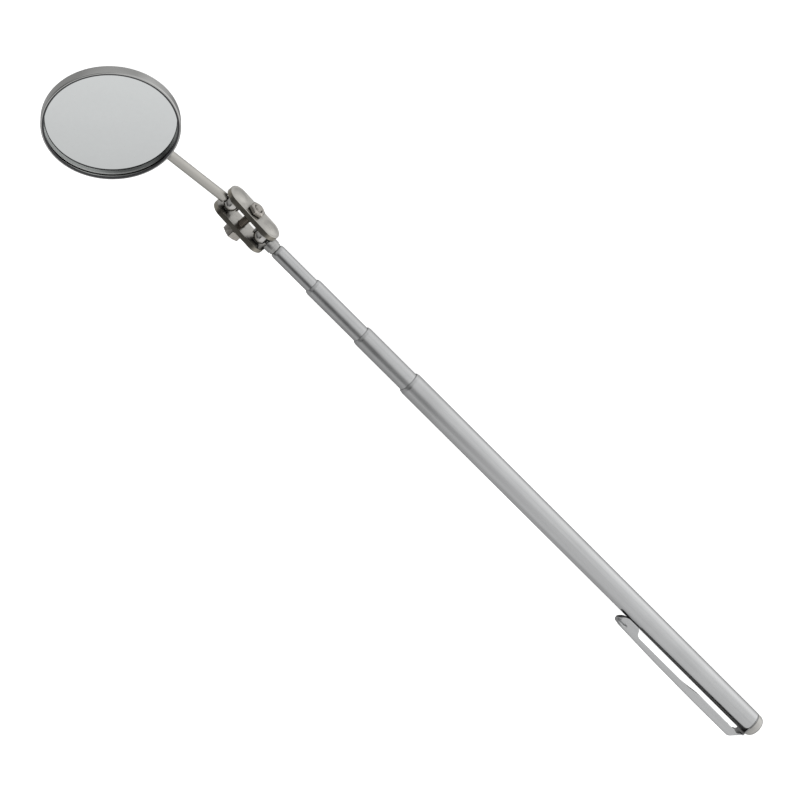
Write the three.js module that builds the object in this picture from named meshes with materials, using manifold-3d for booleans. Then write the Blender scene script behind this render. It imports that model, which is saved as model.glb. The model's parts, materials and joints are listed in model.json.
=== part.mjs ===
// Telescoping inspection mirror: a round mirror on a rod, a double ball joint clamped
// between two plates, and a four-stage telescope with a pocket clip and an end cap.
//
// Millimetres, +Z up. The tool lies on a table on the long edges of its clamp plates and on
// its tail. Inside the model, the handle's axis is the X axis, the mirror end is towards +X,
// and the handle ball's centre is the origin. The last lines move the whole model so that
// its origin is the middle of its footprint, on the table.

import * as THREE from 'three';
import * as BufferGeometryUtils from 'three/addons/utils/BufferGeometryUtils.js';
import Module from 'manifold-3d';

const wasm = await Module();
wasm.setup();

// ---- Driving dimensions -------------------------------------------------------------

const MIRROR_RADIUS = 25;          // outside of the cup's rim
const CUP_DEPTH = 4.3;
const CUP_ROUND = 0.9;             // rounding of the cup's back edge
const SHEET = 0.5;                 // cup and clip sheet metal
const RIM_ROUND = 0.45;            // of the rolled rim's top, outside and inside
const RIM_LIP_RADIUS = 23.9;       // inner edge of the rolled rim
const RIM_HEIGHT = 1;              // from the rim's top to where its roll meets the wall
const GLASS_RADIUS = 24.2;
const GLASS_FRONT = -2.1;          // below the rim's top
const GLASS_THICKNESS = 1.3;
const PAD_RADIUS = 23;
const PAD_THICKNESS = 0.25;
const PAD_CLEARANCE = 0.07;        // between the pad and the glass

const BALL_RADIUS = 3.1;
const BALL_BORE_RADIUS = 1.25;
const STEM_RADIUS = 1.05;          // ball stems, inside the balls' bores
const STEM_HEAD_RADIUS = 1.6;      // peened over the far side of each ball
const STEM_HEAD_START = 3.0;       // from the ball's centre
const STEM_HEAD_HEIGHT = 0.45;
const STEM_HEAD_DOME = [[1, 0], [0.82, 0.55], [0.51, 0.92], [0, 1]]; // shares of height and radius
const SHOULDER_START = 3.35;       // where the plug or the rod starts behind the ball

const BALL_SPACING = 16.2;         // between the two balls' centres
const PLATE_LENGTH = 25.2;
const PLATE_WIDTH = 9;
const PLATE_THICKNESS = 2.1;
const PLATE_GAP = 6;               // between the plates' inner faces
const PLATE_BEVEL = 0.2;
const DOME_RADIUS = 3.6;           // pressed dome over each ball
const DOME_HEIGHT = 0.55;
const POCKET_CLEARANCE = 0.2;      // between a ball and the hollow that seats it

const SHANK_RADIUS = 1.6;
const HEAD_ACROSS_FLATS = 7.2;
const HEAD_HEIGHT = 3.6;
const NUT_ACROSS_FLATS = 5.8;
const NUT_HEIGHT = 1.8;
const SCREW_END = 0.4;             // of the screw, past the nut
const SCREW_CLEARANCE = 0.12;      // radial, and under the head and the nut

const ARM_RADIUS = 1.9;
const TONGUE_WIDTH = 4.8;
const TONGUE_THICKNESS = 1.5;
const TONGUE_REACH = 33;           // from the bend to the tongue's rounded end
const TONGUE_SQUARENESS = 0.45;    // 1 is a full ellipse, and less is squarer
const WELD_GAP = 0.3;              // between the tongue and the cup's back

const MIRROR_ALONG = 55.4;         // rim centre from the arm ball, along the arm
const MIRROR_RISE = 10.3;          // and square to it, upwards

const CLAMP_PITCH = -5;            // degrees up from the handle's axis
const ARM_PITCH = 13;
const MIRROR_PITCH = 11.7;         // of the mirror's plane, up from the arm

// The tongue lies along the cup's back, so the place of the arm's bend follows from the
// mirror's place and pitch.
const TONGUE_DEPTH = CUP_DEPTH + WELD_GAP + TONGUE_THICKNESS / 2;
const MIRROR_TILT = THREE.MathUtils.degToRad(MIRROR_PITCH);
const ARM_BEND = MIRROR_ALONG + (TONGUE_DEPTH - MIRROR_RISE * Math.cos(MIRROR_TILT)) / Math.sin(MIRROR_TILT);
const BEND_HALF = 1.5;             // half the length over which the arm bends
const FLATTEN_LEAD = 3;            // from where the rod starts to flatten to the bend
const TONGUE_SETBACK = 2.2;        // from the bend to where the tongue is quite flat
const FLATTEN_START = ARM_BEND - FLATTEN_LEAD;
const TONGUE_START = ARM_BEND + TONGUE_SETBACK;

// Telescope stages, from the outer barrel to the inner tube. Mouth and tail are places on
// the handle's axis.
const WALL = 0.35;
const MOUTH_LENGTH = 1.3;          // crimped end
const CRIMP_RADIUS = 0.78;         // rounding of the crimp's shoulder
const MOUTH_BEVEL = 0.15;          // edge of the crimp's opening
const LIP_CLEARANCE = 0.08;        // radial, between a mouth and the tube that slides in it
const STAGES = [
  { name: 'barrel_tube', radius: 4.8, mouth: -79.3, tail: -277.2 },
  { name: 'second_tube', radius: 4.15, mouth: -53.3, tail: -246 },
  { name: 'third_tube', radius: 3.5, mouth: -26.8, tail: -220 },
  { name: 'inner_tube', radius: 2.85, mouth: -7.8, tail: -201.5 },
];
const BARREL = STAGES[0];
const INNER = STAGES[3];

const FLARE_LENGTH = 0.6;          // each sliding tube's tail is flared to hold its spring
const FLARE_RISE = 0.18;
const FLARE_END = 0.84;            // where the flare has come down to the tube, from the tail
const SPRING_LENGTH = 10;
const SPRING_CLEARANCE = 0.07;     // radial, on both sides
const SPRING_SLIT = 40;            // degrees left open
const BUSH_LENGTH = 4;
const BUSH_CLEARANCE = 0.06;
const SLIDER_SPACING = 0.3;        // between flare, spring and bush

const PLUG_RADIUS = 2.8;
const PLUG_END = -6.5;
const GROOVE_RADIUS = 2.5;
const GROOVE_END = -7.5;
const NECK_RADIUS = 2.0;           // passes through the inner tube's crimp
const LIP_RADIUS = 2.2;            // inner tube's crimp, closed round the plug's neck
const INSERT_RADIUS = 2.38;
const INSERT_LENGTH = 6;
const INSERT_SETBACK = 0.3;        // behind the inner tube's crimp

const CAP_RADIUS = 4.7;
const CAP_THICKNESS = 3.7;
const CAP_EDGE = 2.1;              // rounding of the cap's outer edge
const CAP_PLUG_RADIUS = 4.3;
const CAP_PLUG_LENGTH = 6;
const RING_THICKNESS = 0.5;        // the clip's ring, clamped between barrel and cap
const RING_GAP = 0.1;
const RING_BORE_RADIUS = 4.36;
const RING_RADIUS = 4.8;

const CLIP_TURN = -59.2;           // degrees about the handle, from straight up
const CLIP_WIDTH = 9;              // at the root
const CLIP_TIP_WIDTH = 4.2;
const CLIP_LENGTH = 71.8;          // from the root to the tip
const CLIP_HINGE_HEIGHT = 5.6;     // from the handle's axis
const CLIP_HINGE_GAP = 0.3;

const CHAMFER = 0.3;
const OVERLAP = 0.5;               // how far two joined shapes of one piece reach into each other
const DRILL_LENGTH = 20;           // of a cutting cylinder, longer than any piece is thick

const ROUND = 24;                  // sides of the handle's turned pieces
const FINE_ROUND = 20;             // sides of the small turned pieces
const DISC_ROUND = 48;             // sides of the mirror and its cup
const POCKET_RINGS = 12;           // rings of the balls' seats

// ---- Shape helpers ------------------------------------------------------------------

const radians = THREE.MathUtils.degToRad;

// A solid of revolution about X. The profile lists [along, radius], running towards +X on
// its outside, and it ends on the axis or returns to its first point.
function turned(profile, sides = ROUND) {
  const points = profile.map(([along, radius]) => new THREE.Vector2(radius, along));
  return new THREE.LatheGeometry(points, sides).rotateZ(-Math.PI / 2);
}

// Profile points on an arc, from one angle to another, in degrees from +X.
function arc(along, radius, size, from, to, steps) {
  return Array.from({ length: steps + 1 }, (_, i) => {
    const angle = radians(from + ((to - from) * i) / steps);
    return [along + size * Math.cos(angle), radius + size * Math.sin(angle)];
  });
}

// An outline drawn in X and Z, extruded along Y between two planes.
function slab(shape, yLow, yHigh, curveSegments = 12, bevel = 0) {
  const settings = { depth: yHigh - yLow - 2 * bevel, curveSegments, bevelEnabled: bevel > 0 };
  Object.assign(settings, { bevelThickness: bevel, bevelSize: bevel, bevelOffset: -bevel, bevelSegments: 1 });
  return new THREE.ExtrudeGeometry(shape, settings).rotateX(Math.PI / 2).translate(0, yHigh - bevel, 0);
}

function shapeFrom(points) {
  return new THREE.Shape(points.map(([x, y]) => new THREE.Vector2(x, y)));
}

function toSolid(geometry) {
  const bare = geometry.clone();
  bare.deleteAttribute('normal');
  bare.deleteAttribute('uv');
  const merged = BufferGeometryUtils.mergeVertices(bare, 1e-4);
  const vertProperties = Float32Array.from(merged.attributes.position.array);
  const triVerts = Uint32Array.from(merged.index.array);
  return new wasm.Manifold(new wasm.Mesh({ numProp: 3, vertProperties, triVerts }));
}

function toGeometry(solid) {
  const mesh = solid.getMesh();
  const geometry = new THREE.BufferGeometry();
  geometry.setAttribute('position', new THREE.BufferAttribute(mesh.vertProperties, 3));
  geometry.setIndex(new THREE.BufferAttribute(mesh.triVerts, 1));
  geometry.computeVertexNormals();
  return geometry;
}

function joined(...geometries) {
  return toGeometry(geometries.map(toSolid).reduce((whole, next) => whole.add(next)));
}

function cut(geometry, ...tools) {
  return toGeometry(tools.map(toSolid).reduce((whole, tool) => whole.subtract(tool), toSolid(geometry)));
}

// A closed skin over rings that all have the same number of points, with flat ends.
function loft(rings) {
  const count = rings[0].length;
  const last = rings.length - 1;
  const centre = (ring) => ring.reduce((sum, p) => sum.add(p), new THREE.Vector3()).divideScalar(count);
  const points = [...rings.flat(), centre(rings[0]), centre(rings[last])];
  const index = [];
  for (let side = 0; side < count; side += 1) {
    const next = (side + 1) % count;
    for (let ring = 0; ring < last; ring += 1) {
      const a = ring * count + side;
      const b = ring * count + next;
      index.push(a, b, b + count, a, b + count, a + count);
    }
    index.push(points.length - 2, next, side);
    index.push(points.length - 1, last * count + side, last * count + next);
  }
  const geometry = new THREE.BufferGeometry().setFromPoints(points);
  geometry.setIndex(index);
  geometry.computeVertexNormals();
  return geometry;
}

function hexPrism(acrossFlats, height) {
  const corner = acrossFlats / Math.sqrt(3);
  return new THREE.CylinderGeometry(corner, corner, height, 6);
}

// ---- Finishes -----------------------------------------------------------------------

const FINISHES = {
  mirrorGlass: { color: 0xc6cac8, roughness: 0.03, metalness: 1 },
  pad: { color: 0x3a3a3a, roughness: 0.9, metalness: 0 },
  cup: { color: 0xc9c8c4, roughness: 0.18, metalness: 1 },
  arm: { color: 0xb8b4aa, roughness: 0.38, metalness: 1 },
  plate: { color: 0xc8c4ba, roughness: 0.3, metalness: 1 },
  ball: { color: 0xcccac6, roughness: 0.12, metalness: 1 },
  fastener: { color: 0xbdb8ae, roughness: 0.28, metalness: 1 },
  tube: { color: 0xc4c5c6, roughness: 0.16, metalness: 1 },
  clip: { color: 0xbfc0c1, roughness: 0.22, metalness: 1 },
  brass: { color: 0xb49a5a, roughness: 0.35, metalness: 1 },
  bronze: { color: 0xa0764a, roughness: 0.35, metalness: 1 },
  cap: { color: 0xcfccc7, roughness: 0.42, metalness: 1 },
};

function part(name, geometry, finish) {
  const mesh = new THREE.Mesh(geometry, new THREE.MeshStandardMaterial(FINISHES[finish]));
  mesh.name = name;
  return mesh;
}

// ---- Telescope ----------------------------------------------------------------------

// A tube whose mouth is crimped inwards to guide the next stage, and whose tail is flared
// when the tube slides.
function tubeGeometry({ radius, mouth, tail }, lipRadius, flare) {
  const bore = radius - WALL;
  const tailRadius = radius + flare;
  const crimp = arc(mouth - MOUTH_LENGTH, radius - CRIMP_RADIUS, CRIMP_RADIUS, 90, 45, 2);
  const halfWayIn = (radius + lipRadius) / 2;
  return turned([
    [tail, bore],
    [tail, tailRadius],
    [tail + FLARE_LENGTH, tailRadius],
    [tail + FLARE_END, radius],
    ...crimp,
    [mouth - 2 * MOUTH_BEVEL, halfWayIn],
    [mouth, lipRadius + MOUTH_BEVEL],
    [mouth - MOUTH_BEVEL, lipRadius],
    [mouth - MOUTH_LENGTH + WALL, lipRadius],
    [mouth - MOUTH_LENGTH, bore],
    [tail, bore],
  ]);
}

// A thin sleeve that is slit along its length.
function slitSleeve(innerRadius, outerRadius, start, length) {
  const half = radians(SPRING_SLIT / 2);
  const shape = new THREE.Shape();
  shape.absarc(0, 0, outerRadius, half, 2 * Math.PI - half, false);
  shape.absarc(0, 0, innerRadius, 2 * Math.PI - half, half, true);
  shape.closePath();
  const sleeve = new THREE.ExtrudeGeometry(shape, { depth: length, curveSegments: 24, bevelEnabled: false });
  return sleeve.rotateY(Math.PI / 2).translate(start, 0, 0);
}

function bushGeometry(innerRadius, outerRadius, start) {
  const end = start + BUSH_LENGTH;
  const loop = [[start, innerRadius], [start, outerRadius], [end, outerRadius], [end, innerRadius]];
  return turned([...loop, loop[0]]);
}

function telescope() {
  const group = new THREE.Group();
  STAGES.forEach((stage, i) => {
    const next = STAGES[i + 1];
    const lipRadius = next ? next.radius + LIP_CLEARANCE : LIP_RADIUS;
    group.add(part(stage.name, tubeGeometry(stage, lipRadius, i > 0 ? FLARE_RISE : 0), 'tube'));
  });
  STAGES.slice(1).forEach((stage, i) => {
    const outerBore = STAGES[i].radius - WALL;
    const springStart = stage.tail + FLARE_END + SLIDER_SPACING;
    const bushStart = springStart + SPRING_LENGTH + SLIDER_SPACING;
    const springInner = stage.radius + SPRING_CLEARANCE;
    const springOuter = outerBore - SPRING_CLEARANCE;
    const spring = slitSleeve(springInner, springOuter, springStart, SPRING_LENGTH);
    const bush = bushGeometry(stage.radius + BUSH_CLEARANCE, outerBore - BUSH_CLEARANCE, bushStart);
    group.add(part(`friction_spring_${i + 2}`, spring, 'bronze'));
    group.add(part(`stop_bush_${i + 2}`, bush, 'brass'));
  });
  return group;
}

// A ball stem: the shaft through the ball, and its peened head beyond it. It runs from the
// shoulder to the head, and `side` is the direction of the head along X.
function stemProfile(side) {
  const points = [
    ...STEM_HEAD_DOME.map(([h, r]) => [STEM_HEAD_START + STEM_HEAD_HEIGHT * h, STEM_HEAD_RADIUS * r]),
    [STEM_HEAD_START, STEM_RADIUS],
    [-SHOULDER_START, STEM_RADIUS],
  ];
  return points.map(([along, radius]) => [side * along, radius]);
}

function nosePlug() {
  const insertEnd = INNER.mouth - MOUTH_LENGTH - INSERT_SETBACK;
  return turned([
    [insertEnd - INSERT_LENGTH, 0],
    [insertEnd - INSERT_LENGTH, INSERT_RADIUS],
    [insertEnd, INSERT_RADIUS],
    [insertEnd, NECK_RADIUS],
    [GROOVE_END, NECK_RADIUS],
    [GROOVE_END, GROOVE_RADIUS],
    [PLUG_END, GROOVE_RADIUS],
    [PLUG_END, PLUG_RADIUS],
    [-SHOULDER_START - CHAMFER, PLUG_RADIUS],
    [-SHOULDER_START, PLUG_RADIUS - CHAMFER],
    ...stemProfile(1).reverse(),
  ]);
}

function ball() {
  const edge = THREE.MathUtils.radToDeg(Math.asin(BALL_BORE_RADIUS / BALL_RADIUS));
  const outside = arc(0, 0, BALL_RADIUS, 180 - edge, edge, 10);
  return turned([...outside, outside[0]], FINE_ROUND);
}

function endCap() {
  const seat = BARREL.tail - 2 * RING_GAP - RING_THICKNESS;
  const end = seat - CAP_THICKNESS;
  const plugEnd = BARREL.tail + CAP_PLUG_LENGTH;
  return turned([
    [end, 0],
    ...arc(end + CAP_EDGE, CAP_RADIUS - CAP_EDGE, CAP_EDGE, 180, 90, 5),
    [seat, CAP_RADIUS],
    [seat, CAP_PLUG_RADIUS],
    [plugEnd - CHAMFER, CAP_PLUG_RADIUS],
    [plugEnd, CAP_PLUG_RADIUS - CHAMFER],
    [plugEnd, 0],
  ]);
}

// ---- Pocket clip --------------------------------------------------------------------

// The clip lies in its own frame: X along the handle, Z outwards from the handle's axis. Its
// ring is a plate with a round hole, and the plate's upper part is the tab that carries it.
function clipRing() {
  const start = BARREL.tail - RING_GAP - RING_THICKNESS;
  const side = Math.acos(CLIP_WIDTH / 2 / RING_RADIUS);
  const outline = new THREE.Shape();
  outline.absarc(0, 0, RING_RADIUS, Math.PI - side, 2 * Math.PI + side, false);
  outline.lineTo(CLIP_WIDTH / 2, CLIP_HINGE_HEIGHT);
  outline.lineTo(-CLIP_WIDTH / 2, CLIP_HINGE_HEIGHT);
  outline.closePath();
  outline.holes.push(new THREE.Path().absarc(0, 0, RING_BORE_RADIUS, 0, 2 * Math.PI, false));
  const settings = { depth: RING_THICKNESS, curveSegments: ROUND / 2, bevelEnabled: false };
  const plate = new THREE.ExtrudeGeometry(outline, settings);
  return plate.rotateY(Math.PI / 2).rotateX(Math.PI / 2).translate(start, 0, 0);
}

// Side view of the clip's outside, from the root bend to the tip, as [along, height].
const CLIP_ROOT = BARREL.tail - RING_GAP - RING_THICKNESS / 2;
const CLIP_BACK = [
  [CLIP_ROOT, CLIP_HINGE_HEIGHT + CLIP_HINGE_GAP],
  [CLIP_ROOT + 4.3, 10.3],
  [CLIP_ROOT + 25, 10.35],
  [CLIP_ROOT + 45, 10.1],
  [CLIP_ROOT + 58, 9.7],
  [CLIP_ROOT + 68.6, 9.4],
  [CLIP_ROOT + 71, 8.9],
  [CLIP_ROOT + CLIP_LENGTH, 8.2],
];
// Side view of its flanges' free edge, from the tip back to the root: the lobe that rests
// on the barrel, the shallow middle stretch, and the deeper root with its round relief.
const CLIP_EDGE = [
  [CLIP_ROOT + 71.4, 7],
  [CLIP_ROOT + 69.6, 5.4],
  [CLIP_ROOT + 68, 4.7],
  [CLIP_ROOT + 62.8, 4.7],
  [CLIP_ROOT + 61.8, 5.1],
  [CLIP_ROOT + 61, 6.8],
  [CLIP_ROOT + 59.8, 7.5],
  [CLIP_ROOT + 31, 7.5],
  [CLIP_ROOT + 24, 6.6],
  [CLIP_ROOT + 5, 6.6],
];
const CLIP_RELIEF = [CLIP_ROOT + 3, 4.9];
const CLIP_RELIEF_RADIUS = 2;

// The same line moved towards the handle.
function inset(line, distance) {
  return line.map(([x, z], i) => {
    const [ax, az] = line[Math.max(i - 1, 0)];
    const [bx, bz] = line[Math.min(i + 1, line.length - 1)];
    const length = Math.hypot(bx - ax, bz - az);
    return [x + ((bz - az) / length) * distance, z - ((bx - ax) / length) * distance];
  });
}

// Narrows the clip evenly towards its tip. The sheet keeps its thickness.
function tapered(geometry) {
  const points = geometry.attributes.position;
  for (let i = 0; i < points.count; i += 1) {
    const share = (points.getX(i) - CLIP_ROOT) / CLIP_LENGTH;
    const narrowing = (share * (CLIP_WIDTH - CLIP_TIP_WIDTH)) / 2;
    points.setY(i, points.getY(i) - Math.sign(points.getY(i)) * narrowing);
  }
  geometry.computeVertexNormals();
  return geometry;
}

function pocketClip() {
  const backInside = inset(CLIP_BACK, SHEET);
  const web = slab(shapeFrom([...CLIP_BACK, ...backInside.reverse()]), -CLIP_WIDTH / 2, CLIP_WIDTH / 2);
  const side = shapeFrom([...CLIP_BACK, ...CLIP_EDGE]);
  const left = slab(side, -CLIP_WIDTH / 2, SHEET - CLIP_WIDTH / 2);
  const right = slab(side, CLIP_WIDTH / 2 - SHEET, CLIP_WIDTH / 2);
  const relief = new THREE.Shape().absarc(...CLIP_RELIEF, CLIP_RELIEF_RADIUS, 0, 2 * Math.PI, false);
  const drill = slab(relief, -CLIP_WIDTH, CLIP_WIDTH);
  return tapered(cut(joined(web, left, right), drill));
}

function clip() {
  const group = new THREE.Group();
  group.rotation.x = radians(CLIP_TURN);
  group.add(part('clip_ring', clipRing(), 'clip'));
  group.add(part('pocket_clip', pocketClip(), 'clip'));
  return group;
}

// ---- Double ball clamp --------------------------------------------------------------

// Where the screw's head and the nut bear on the plates, from the middle plane.
const SCREW_SEAT = PLATE_GAP / 2 + PLATE_THICKNESS + SCREW_CLEARANCE;

function screwHole() {
  const bore = SHANK_RADIUS + SCREW_CLEARANCE;
  return new THREE.CylinderGeometry(bore, bore, DRILL_LENGTH, FINE_ROUND);
}

// Plates stand square to Y. `side` is -1 for the front plate and +1 for the rear one.
function clampPlate(side) {
  const halfLength = PLATE_LENGTH / 2;
  const corner = PLATE_WIDTH / 2;
  const straight = halfLength - corner;
  const middle = BALL_SPACING / 2;
  const outline = new THREE.Shape();
  outline.absarc(middle + straight, 0, corner, -Math.PI / 2, Math.PI / 2, false);
  outline.absarc(middle - straight, 0, corner, Math.PI / 2, (3 * Math.PI) / 2, false);
  outline.closePath();
  const inner = PLATE_GAP / 2;
  const outer = inner + PLATE_THICKNESS;
  const [low, high] = side > 0 ? [inner, outer] : [-outer, -inner];
  const plate = slab(outline, low, high, 8, PLATE_BEVEL);

  const domeSphere = (DOME_RADIUS ** 2 + DOME_HEIGHT ** 2) / (2 * DOME_HEIGHT);
  const domeAngle = THREE.MathUtils.radToDeg(Math.asin(DOME_RADIUS / domeSphere));
  const crown = arc(outer + DOME_HEIGHT - domeSphere, 0, domeSphere, domeAngle, 0, 3);
  const domeProfile = [[outer - OVERLAP, 0], [outer - OVERLAP, DOME_RADIUS], ...crown];
  const dome = () => turned(domeProfile, FINE_ROUND).rotateZ((side * Math.PI) / 2);
  const pocket = () => new THREE.SphereGeometry(BALL_RADIUS + POCKET_CLEARANCE, FINE_ROUND, POCKET_RINGS);
  const whole = joined(plate, dome(), dome().translate(BALL_SPACING, 0, 0));
  return cut(whole, pocket(), pocket().translate(BALL_SPACING, 0, 0), screwHole().translate(middle, 0, 0));
}

function clampScrew() {
  const top = SCREW_SEAT + OVERLAP;
  const end = -SCREW_SEAT - NUT_HEIGHT - SCREW_END;
  const head = hexPrism(HEAD_ACROSS_FLATS, HEAD_HEIGHT).translate(0, SCREW_SEAT + HEAD_HEIGHT / 2, 0);
  const shank = new THREE.CylinderGeometry(SHANK_RADIUS, SHANK_RADIUS, top - end, FINE_ROUND);
  return joined(head, shank.translate(0, (top + end) / 2, 0));
}

function clampNut() {
  const nut = hexPrism(NUT_ACROSS_FLATS, NUT_HEIGHT).translate(0, -SCREW_SEAT - NUT_HEIGHT / 2, 0);
  return cut(nut, screwHole());
}

function clamp() {
  const group = new THREE.Group();
  group.rotation.y = -radians(CLAMP_PITCH);
  group.add(part('clamp_plate_front', clampPlate(-1), 'plate'));
  group.add(part('clamp_plate_rear', clampPlate(1), 'plate'));
  group.add(part('clamp_screw', clampScrew().translate(BALL_SPACING / 2, 0, 0), 'fastener'));
  group.add(part('clamp_nut', clampNut().translate(BALL_SPACING / 2, 0, 0), 'fastener'));
  return group;
}

// ---- Arm and mirror -----------------------------------------------------------------

// The rod runs along X from the arm ball. It flattens into a tongue that bends up under the
// cup's back, and the tongue's end is round.
function mirrorArm() {
  const bend = MIRROR_TILT;
  const endRadius = TONGUE_WIDTH / 2;
  const section = (along, width, height, squareness) => {
    const past = Math.max(along - ARM_BEND, 0);
    const tilt = bend * THREE.MathUtils.smoothstep(along, ARM_BEND - BEND_HALF, ARM_BEND + BEND_HALF);
    const centre = new THREE.Vector3(
      along - past + past * Math.cos(bend), 0, past * Math.sin(bend),
    );
    return Array.from({ length: FINE_ROUND }, (_, i) => {
      const angle = (2 * Math.PI * i) / FINE_ROUND;
      const c = Math.cos(angle);
      const s = Math.sin(angle);
      const y = (width / 2) * Math.sign(c) * Math.abs(c) ** squareness;
      const z = (height / 2) * Math.sign(s) * Math.abs(s) ** squareness;
      return new THREE.Vector3(-z * Math.sin(tilt), y, z * Math.cos(tilt)).add(centre);
    });
  };
  const round = 2 * ARM_RADIUS;
  const rings = [
    section(SHOULDER_START, round - 2 * CHAMFER, round - 2 * CHAMFER, 1),
    section(SHOULDER_START + CHAMFER, round, round, 1),
    section(FLATTEN_START, round, round, 1),
  ];
  for (const t of [0.3, 0.6, 0.85, 1]) {
    const along = THREE.MathUtils.lerp(FLATTEN_START, TONGUE_START, t);
    const width = THREE.MathUtils.lerp(round, TONGUE_WIDTH, t);
    const height = THREE.MathUtils.lerp(round, TONGUE_THICKNESS, t);
    rings.push(section(along, width, height, THREE.MathUtils.lerp(1, TONGUE_SQUARENESS, t)));
  }
  for (const angle of [0, 30, 50, 68, 82]) {
    const along = ARM_BEND + TONGUE_REACH - endRadius * (1 - Math.sin(radians(angle)));
    rings.push(section(along, TONGUE_WIDTH * Math.cos(radians(angle)), TONGUE_THICKNESS, TONGUE_SQUARENESS));
  }
  const stem = [[-STEM_HEAD_START - STEM_HEAD_HEIGHT, 0], ...stemProfile(-1).slice(1, -1)];
  const stemEnd = SHOULDER_START + OVERLAP;
  const stemProfileInRod = [...stem, [stemEnd, STEM_RADIUS], [stemEnd, 0]];
  return joined(loft(rings), turned(stemProfileInRod, FINE_ROUND));
}

// The cup, glass and pad are turned about X here and stood up so that X becomes the
// mirror's own normal. The rim's top is at zero.
function standing(profile, sides) {
  return turned(profile, sides).rotateY(-Math.PI / 2);
}

function mirrorCup() {
  const wall = MIRROR_RADIUS - SHEET;
  const floor = SHEET - CUP_DEPTH;
  const inside = CUP_ROUND - SHEET;
  return standing([
    [-CUP_DEPTH, 0],
    ...arc(CUP_ROUND - CUP_DEPTH, MIRROR_RADIUS - CUP_ROUND, CUP_ROUND, 180, 90, 3),
    ...arc(-RIM_ROUND, MIRROR_RADIUS - RIM_ROUND, RIM_ROUND, 90, 0, 3),
    ...arc(-RIM_ROUND, RIM_LIP_RADIUS + RIM_ROUND, RIM_ROUND, 0, -90, 3),
    [(-RIM_ROUND - RIM_HEIGHT) / 2, RIM_LIP_RADIUS],
    [-RIM_HEIGHT, wall],
    ...arc(floor + inside, wall - inside, inside, 90, 180, 2),
    [floor, 0],
  ], DISC_ROUND);
}

function disc(top, thickness, radius) {
  const bottom = top - thickness;
  return standing([[bottom, 0], [bottom, radius], [top, radius], [top, 0]], DISC_ROUND);
}

function head() {
  const group = new THREE.Group();
  group.rotation.y = -radians(ARM_PITCH);
  const pitch = radians(CLAMP_PITCH);
  group.position.set(BALL_SPACING * Math.cos(pitch), 0, BALL_SPACING * Math.sin(pitch));
  group.add(part('arm_ball', ball(), 'ball'));
  group.add(part('mirror_arm', mirrorArm(), 'arm'));

  const mirror = new THREE.Group();
  mirror.position.set(MIRROR_ALONG, 0, MIRROR_RISE);
  mirror.rotation.y = -radians(MIRROR_PITCH);
  const padTop = GLASS_FRONT - GLASS_THICKNESS - PAD_CLEARANCE;
  mirror.add(part('mirror_cup', mirrorCup(), 'cup'));
  mirror.add(part('mirror_glass', disc(GLASS_FRONT, GLASS_THICKNESS, GLASS_RADIUS), 'mirrorGlass'));
  mirror.add(part('backing_pad', disc(padTop, PAD_THICKNESS, PAD_RADIUS), 'pad'));
  group.add(mirror);
  return group;
}

// ---- Whole tool ---------------------------------------------------------------------

const tool = new THREE.Group();
tool.add(telescope());
tool.add(part('end_cap', endCap(), 'cap'));
tool.add(clip());
tool.add(part('nose_plug', nosePlug(), 'tube'));
tool.add(part('handle_ball', ball(), 'ball'));
tool.add(clamp());
tool.add(head());

const model = new THREE.Group();
model.add(tool);
model.updateMatrixWorld(true);
const bounds = new THREE.Box3().setFromObject(model, true);
const middle = bounds.getCenter(new THREE.Vector3());
tool.position.set(-middle.x, -middle.y, -bounds.min.z);

export default model;
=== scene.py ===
import json
import math

import bpy
import bmesh
from mathutils import Matrix, Vector


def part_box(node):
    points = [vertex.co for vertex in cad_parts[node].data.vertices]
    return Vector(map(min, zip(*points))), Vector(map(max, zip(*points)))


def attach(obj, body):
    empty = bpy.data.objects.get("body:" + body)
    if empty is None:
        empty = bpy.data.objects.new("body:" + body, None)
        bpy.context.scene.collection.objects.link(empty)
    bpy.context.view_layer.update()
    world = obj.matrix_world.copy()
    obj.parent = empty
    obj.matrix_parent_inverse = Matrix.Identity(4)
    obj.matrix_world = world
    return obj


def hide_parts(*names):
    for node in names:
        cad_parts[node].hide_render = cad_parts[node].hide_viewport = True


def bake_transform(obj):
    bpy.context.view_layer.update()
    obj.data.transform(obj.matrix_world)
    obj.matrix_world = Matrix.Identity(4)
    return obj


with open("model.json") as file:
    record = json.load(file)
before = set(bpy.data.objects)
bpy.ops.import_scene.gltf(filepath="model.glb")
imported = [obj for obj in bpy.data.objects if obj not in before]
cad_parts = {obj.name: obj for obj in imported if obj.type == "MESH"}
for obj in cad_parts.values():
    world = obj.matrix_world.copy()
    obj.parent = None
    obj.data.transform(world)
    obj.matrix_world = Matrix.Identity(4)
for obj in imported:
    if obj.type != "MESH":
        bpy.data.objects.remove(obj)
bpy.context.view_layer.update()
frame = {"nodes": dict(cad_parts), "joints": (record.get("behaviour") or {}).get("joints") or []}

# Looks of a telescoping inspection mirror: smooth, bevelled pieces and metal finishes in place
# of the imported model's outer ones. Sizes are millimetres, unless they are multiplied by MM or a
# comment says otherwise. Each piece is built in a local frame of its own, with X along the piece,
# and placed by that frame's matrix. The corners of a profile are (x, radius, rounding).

MM = 0.001

# ---- Sizes --------------------------------------------------------------------------

FINE = 96                     # sides of turned pieces
DISC = 192                    # sides of the mirror and its cup
SMOOTH_ANGLE = math.radians(35)
SAME_PLACE = 0.0001 * MM      # points closer than this are one

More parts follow.
